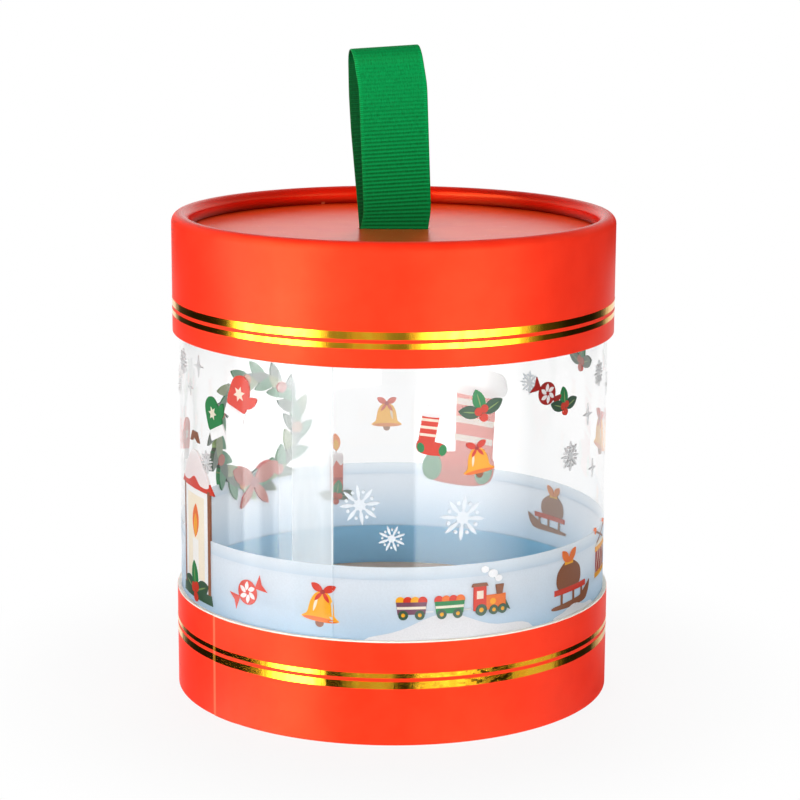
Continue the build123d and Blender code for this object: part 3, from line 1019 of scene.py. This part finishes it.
facing_rows = facing_points()
facing_uv = (np.linspace(0, 1, len(facing_rows) + 1), np.linspace(0, 1, facing_rows.shape[1] + 1))
facing = skin("lid_disc_satin", facing_rows[::-1], [satin_red_finish()], facing_uv)
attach(facing, "lid")
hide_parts("lid_disc_facing")

# Ribbon: one length of woven ribbon with cross ribs. Its ends go down through
# the slot and lie flat under the disc, and the loop stands up and leans left.
ribbon_width = 19.0 * mm
ribbon_edge = ribbon_width / 2
ribbon_thickness = 0.6 * mm
ribbon_gap = 0.3 * mm
ribbon_tail = 25.0 * mm
ribbon_corner = 0.5 * mm
ribbon_crest_height = 46.2 * mm
ribbon_top_radius = 4.8 * mm
ribbon_flat_length = 161.0 * mm
ribbon_lean = math.radians(4.0)
ribbon_edge_round = 0.3 * mm
hem_width = 1.1 * mm
hem_ramp = 0.25 * mm
bead_step = 1.4 * mm
rib_pitch = 1.09 * mm
rib_depth = 0.11 * mm
rib_fade = (8.0 * mm, 46.0 * mm)
rows_in_rib = 7
rows_softened = 5
shift_rows_softened = 24
lean_start = 8.0 * mm
crest_start = 44.0 * mm
crest_reach = 4.0 * mm
strand_reach = 0.1 * mm
tails_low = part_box("ribbon_tails")[0]
# Sideways shift of each strand, as pairs of a height above the disc and a shift.
front_shift = np.array([(0, 0.1), (5, 1.0), (40, -0.35), (51, -2.2)]) * mm
back_shift = np.array([(0, -0.2), (5, -0.6), (28, -2.7), (38, -3.3), (51, -3.6)]) * mm


def ribbon_path():
    """Middle line of the ribbon seen from its edge, in y and z: out along one
    tail, up the front strand, round the top and down the back strand."""
    root = ribbon_gap / 2 + ribbon_thickness / 2
    tail_height = tails_low.z + ribbon_thickness / 2
    turn_in = np.radians(np.linspace(0, 90, 7))
    low_corner = ribbon_corner * np.stack([np.sin(turn_in) - 1, 1 - np.cos(turn_in)], axis=1)
    low_corner += (-root, tail_height)
    turn_over = np.radians(np.linspace(175, 5, 41))
    crest = np.stack([np.cos(turn_over), np.sin(turn_over)], axis=1)
    crest *= ribbon_top_radius - ribbon_thickness / 2
    crest[:, 1] += facing_high.z + ribbon_crest_height
    tail_end = (-root - ribbon_tail, tail_height)
    front = np.concatenate([[tail_end], low_corner, [(-root, facing_high.z + 1.0 * mm)]])
    return np.concatenate([front, crest, front[::-1] * [-1, 1]])


def evenly(points, count):
    """The same line with points evenly spaced along it."""
    along = lengths(points, False)
    even = np.linspace(0, along[-1], count)
    return even, np.stack([np.interp(even, along, points[:, k]) for k in range(points.shape[1])], axis=1)


def softened(values, reach):
    """Running mean over a reach of rows, with the ends held."""
    padded = np.pad(values, ((reach, reach), (0, 0)), mode="edge")
    kernel = np.hanning(2 * reach + 1)
    kernel /= kernel.sum()
    return np.stack([np.convolve(padded[:, k], kernel, "valid") for k in range(values.shape[1])], axis=1)


def ribbon_points():
    """Grid of the ribbon: rows along its length and, across, its front face and
    back again on its other face. Each rib is a rounded ridge; the selvedges have
    small beads twice as close."""
    corners = ribbon_path()
    ribs = int(round(lengths(corners, False)[-1] / rib_pitch))
    along, line = evenly(corners, ribs * rows_in_rib + 1)
    line = softened(line, rows_softened)
    slope = np.gradient(line, axis=0)
    slope /= np.linalg.norm(slope, axis=1)[:, None]
    outwards = np.stack([-slope[:, 1], slope[:, 0]], axis=1)
    height = np.clip(line[:, 1] - facing_high.z, 0, None)
    reach = np.where(height > crest_start, crest_reach, strand_reach)
    share = np.clip(0.5 + line[:, 0] / (2 * reach), 0, 1)
    side = np.interp(height, *front_shift.T) * (1 - share) + np.interp(height, *back_shift.T) * share
    side = softened(side[:, None], shift_rows_softened)
    tilt = ribbon_lean * np.clip(height / lean_start, 0, 1)[:, None]
    hem = np.linspace(0, hem_width, 6)[:-1]
    body = np.linspace(hem_width - ribbon_edge, ribbon_edge - hem_width, 17)
    across = np.concatenate([hem - ribbon_edge, body, ribbon_edge - hem[::-1]])
    inwards = ribbon_edge - np.abs(across)
    in_hem = np.clip((hem_width - inwards) / hem_ramp, 0, 1)
    phase = 2 * np.pi * along[:, None] / rib_pitch
    ridge = (0.5 + 0.5 * np.cos(phase)) ** 0.6
    beads = 0.8 * (0.5 + 0.5 * np.cos(2 * phase + 2 * np.pi * across / bead_step))
    strength = np.interp(height, rib_fade, [1, 0.3])[:, None]
    relief = rib_depth * (0.5 + (ridge * (1 - in_hem) + beads * in_hem - 0.5) * strength)
    rounding = np.clip(1 - inwards / ribbon_edge_round, 0, 1)
    lift = (ribbon_thickness / 2 - rib_depth + relief) * np.sqrt(np.clip(1 - rounding**2, 0.02, 1))
    faces = []
    for sign, order in ((1, slice(None)), (-1, slice(None, None, -1))):
        out = sign * lift[:, order]
        x = side + np.cos(tilt) * across[order]
        y = line[:, :1] + outwards[:, :1] * out
        z = line[:, 1:] + outwards[:, 1:] * out + np.sin(tilt) * across[order]
        faces.append(np.stack([x, y, z], axis=2))
    middle = (faces[0] + faces[1][:, ::-1]) / 2
    ends = np.concatenate([middle, middle[:, ::-1]], axis=1)
    return along, across, np.concatenate([ends[:1], np.concatenate(faces, axis=1), ends[-1:]])


def green_ribbon_finish():
    """Woven ribbon with fine lengthwise threads and a lighter selvedge. Its colour
    holds painted light and shade: lighter rib crests and dark grooves between
    them, which fade towards the middle of its length, painted highlights on the
    selvedge beads, a green painted lighter towards the top of the loop and
    darker towards its foot, and a darker inner face as painted shade. UV is in
    metres: round its section, and along it."""
    finish = Finish("green_ribbon")
    across, along = finish.axis(0, "UV"), finish.axis(1, "UV")
    from_top = finish.maths("ABSOLUTE", along - ribbon_flat_length / 2)
    strength = 0.08 + 0.56 * finish.between(from_top, 10 * mm, 46 * mm)
    # Painted shade and highlight on the ribs: lighter crests, darker grooves.
    crest = finish.maths("COSINE", along * (2 * math.pi / rib_pitch)) * 0.5
    # Painted highlights on the selvedge beads.
    bead_highlight = finish.maths("COSINE", along * (4 * math.pi / rib_pitch))
    hem = finish.between(finish.maths("ABSOLUTE", across), ribbon_edge - 1.2 * mm, ribbon_edge - 0.8 * mm)
    # Painted shade: the inner face is darker.
    inner_face_shade = finish.between(across, ribbon_edge, ribbon_edge + 0.2 * mm)
    threads = finish.grain(0.22 * mm, 2, (1, 0.12, 1), "UV")
    fuzz = finish.grain(0.4 * mm, 3)
    shade = 0.5 + crest * strength + (threads - 0.5) * 0.5 + (fuzz - 0.5) * 0.4
    shade = finish.between(shade + hem * (0.12 + 0.22 * bead_highlight), -0.1, 1.1)
    # Painted light and shade: lighter green towards the top of the loop, darker towards its foot.
    green = finish.blend(finish.between(from_top, 52 * mm, 6 * mm), srgb(2, 128, 62), srgb(0, 164, 83))
    tint = finish.blend(shade, srgb(0, 70, 27), green)
    return finish.surface(
        base_color=finish.blend(inner_face_shade * 0.7, tint, srgb(0, 44, 20)),
        roughness=0.6,
        normal=finish.relief(threads * 0.6 + fuzz * 0.4, 0.05 * mm),
        specular_ior_level=0.12,
        specular_tint=(0.3, 1.0, 0.6, 1),
    )


ribbon_along, ribbon_across, ribbon_grid = ribbon_points()
row_places = np.concatenate([[0], ribbon_along, [ribbon_along[-1]]])
back_places = ribbon_width - ribbon_across[::-1]
ribbon_uv = (row_places, np.concatenate([ribbon_across, back_places, [1.5 * ribbon_width]]))
ribbon = skin(
    "ribbon_woven",
    ribbon_grid,
    [green_ribbon_finish()],
    ribbon_uv,
    closed=(False, True),
    sharp=80,
)
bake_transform(ribbon)
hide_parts("ribbon_loop", "ribbon_tails")

# Patch: a card label without print, glued over the spread tails.
dress("ribbon_patch", white_paper)

# Studio: a plain pale floor, a white surround, and soft lamps in front, behind
# and above. One more lamp, over the rim, and a tent of soft strips only show in
# reflections.
floor_reach = 3.0
floor_gap = 0.05 * mm
floor_blur_steps = 50
side_light = 0.42
overhead_light = 0.16
tent_radius = 0.125
full_glow = 12.0


def plain_light(finish, kind, strength):
    """White light of one strength."""
    return finish.node(kind, {}, {"Color": (1, 1, 1, 1), "Strength": strength})


def shown_white(finish, glossy_share=1.0):
    """How white a ray finds the studio, in place of its paper or its light: the
    camera's rays, the mirrored ones and those through the film."""
    seen, glossy, through = (
        finish.node("LightPath", out="Is " + kind + " Ray") for kind in ("Camera", "Glossy", "Transmission")
    )
    return finish.maths("MINIMUM", seen + glossy * glossy_share + through, 1.0)


floor_corners = floor_reach * np.array([(-1, -1, 0), (1, -1, 0), (1, 1, 0), (-1, 1, 0)])
floor_data = bpy.data.meshes.new("floor")
floor_data.from_pydata(floor_corners.tolist(), [], [(0, 1, 2, 3)])
floor = bpy.data.objects.new("floor", floor_data)
bpy.context.scene.collection.objects.link(floor)
floor.location.z = -floor_gap
floor_finish = Finish("floor_paper")
away = floor_finish.node("VectorMath", {"operation": "LENGTH"}, {0: floor_finish.place()}, out=1)
far_share = 0.9 + 0.1 * floor_finish.between(away, 0.07, 0.14)
paper = floor_finish.node("BsdfDiffuse", {}, {"Color": (0.6, 0.6, 0.6, 1)})
white = plain_light(floor_finish, "Emission", 1.0)
floor_share = shown_white(floor_finish) * far_share
floor_data.materials.append(floor_finish.show(floor_finish.mixed(floor_share, paper, white)))
floor.visible_glossy = False

surround = Finish("surround", bpy.data.worlds, "OutputWorld")
bpy.context.scene.world = surround.material
upward = surround.axis(2, "Generated")
side, overhead, white = (
    plain_light(surround, "Background", level) for level in (side_light, overhead_light, 1.0)
)
light = surround.mixed(surround.between(upward, 0.2, 0.8), side, overhead)
surround_share = shown_white(surround, 1 - 0.97 * surround.between(upward, 0.2, 0.5))
surround.show(surround.mixed(surround_share, light, white))


def lamp(name, place, target, size, power, mirrored=False, colour=(1, 1, 1)):
    """A soft square lamp that faces a point. It either lights the box and shows
    in no reflection, or shows in reflections alone."""
    data = bpy.data.lights.new(name, "AREA")
    data.size = size
    data.energy = power
    data.color = colour
    made = bpy.data.objects.new(name, data)
    bpy.context.scene.collection.objects.link(made)
    made.location = place
    made.rotation_euler = (Vector(target) - Vector(place)).to_track_quat("-Z", "Y").to_euler()
    made.visible_glossy = mirrored
    made.visible_diffuse = not mirrored
    made.visible_camera = False
    made.visible_transmission = False


lamp("lamp_front_left", (-0.85, -1.05, 0.24), (0, 0, 0.08), 0.7, 18)
lamp("lamp_front_right", (0.95, -0.95, 0.22), (0, 0, 0.1), 0.7, 11)
lamp("lamp_behind", (0.1, 1.2, 0.16), (0, 0, 0.08), 0.9, 10)
lamp("lamp_above", (0.0, 0.75, 0.85), (0, 0, 0.12), 0.6, 6)
lamp("lamp_for_rim", (-0.265, -0.165, 0.285), (0.03, 0.05, 0.136), 0.33, 4.6, True, (1, 0.2, 0.14))

tent_rows = np.array([-120, -42, -36, -22, -17, 6, 8, 12, 16, 78, 86, 106, 114, 132, 138, 166]) * mm
strip_angles = np.arange(-180, 180, 0.5)


def strips(*ends):
    """Glow round the tent, from pairs of an angle off the front and the level
    there, with straight ramps between them."""
    return np.interp(strip_angles, *np.array(ends, float).T)


paper_glow = strips(
    (-180, 1), (-130, 1), (-127, 0.02), (-78, 0.02), (-75, 3), (-67, 3), (-65, 8), (-57, 8), (-55, 3.5),
    (-51, 3.5), (-49, 9), (-30, 9), (-26, 0.5), (8, 0.5), (10, 5), (36, 5), (52, 2), (60, 0), (180, 0),
)
base_foil_glow = strips(
    (-180, 1), (-125, 1), (-120, 0.3), (-114, 0.04), (-100, 0.01), (-65, 0.01), (-60, 0.1), (-57, 0.3),
    (-52, 1.2), (-47, 7), (-42, 11), (-32, 11), (-28, 1.7), (-26, 0), (-20, 0), (-17, 0.25), (-13, 0.5),
    (-1, 0.55), (2, 0.1), (3, 0), (7, 0), (12, 1.2), (29, 1.4), (37, 0.5), (43, 0.08), (48, 0.08), (54, 0.7),
    (73, 0.6), (77, 0.05), (82, 0.01), (106, 0.02), (114, 0.5), (120, 0.72), (134, 0.7), (141, 1), (180, 1),
)
lid_foil_glow = strips(
    (-180, 1), (-126, 1), (-122, 0.4), (-116, 0.05), (-98, 0.01), (-78, 0.01), (-72, 0.1), (-67, 1.3),
    (-62, 8), (-50, 9), (-42, 12), (-32, 11), (-28, 1.9), (-24, 0.35), (-18, 0.3), (-14, 0.58), (-5, 0.6),
    (-1, 0.3), (5, 0.22), (9, 1.2), (13, 3), (18, 7), (24, 9), (34, 8), (42, 5), (48, 3), (52, 1.2),
    (57, 0.4), (62, 0.07), (78, 0.01), (98, 0.01), (109, 0.08), (115, 0.6), (121, 0.95), (180, 1),
)
high_glow = strips(
    (-180, 1), (-130, 1), (-127, 0.1), (-78, 0.1), (-75, 1.5), (-29, 3), (-27, 0.1), (8, 0.1), (9, 3),
    (56, 1.5), (66, 0.02), (125, 0.02), (142, 0.7), (155, 1), (180, 1),
)
pale_ends = strips(
    (-180, 1), (-118, 1), (-108, 0.6), (-77, 0.5), (-75, 0), (60, 0), (75, 0.5), (100, 1), (180, 1)
)
veil = strips(
    (-180, 9), (-66, 9), (-64, 7), (-58, 7), (-55, 3), (-51, 3), (-49, 6), (-41, 6), (-38, 2), (-30, 2),
    (-26, 9), (180, 9),
)
lit_floor = 1.7 * paper_glow + 2.4 * (np.abs(strip_angles) < 80)
floor_glow = softened(lit_floor[:, None], floor_blur_steps)[:, 0]
window_glow = np.minimum(np.maximum(paper_glow, pale_ends), veil)
lower_glows = [np.ones(len(strip_angles)), floor_glow, base_foil_glow, floor_glow]
row_glows = lower_glows + [window_glow, lid_foil_glow, paper_glow, high_glow]
tent_points = turned(np.full((len(tent_rows), 1), tent_radius), tent_rows, strip_angles + 270)
tent_finish = Finish("tent")
glow = tent_finish.node("Attribute", {"attribute_name": "glow"}, out="Fac")
dark, bright = (plain_light(tent_finish, "Emission", level) for level in (0.0, full_glow))
tent_finish.show(tent_finish.mixed(glow, dark, bright))
tent_uv = (np.linspace(0, 1, len(tent_rows)), np.linspace(0, 1, len(strip_angles) + 1))
tent = skin("tent", tent_points, [tent_finish.material], tent_uv, closed=(False, True))
glow_values = np.repeat(row_glows, 2, axis=0).ravel() / full_glow
glow_layer = tent.data.attributes.new("glow", "FLOAT", "POINT")
glow_layer.data.foreach_set("value", glow_values.astype(np.float32))
tent.visible_camera = False
tent.visible_diffuse = False
tent.visible_shadow = False
tent.visible_transmission = False
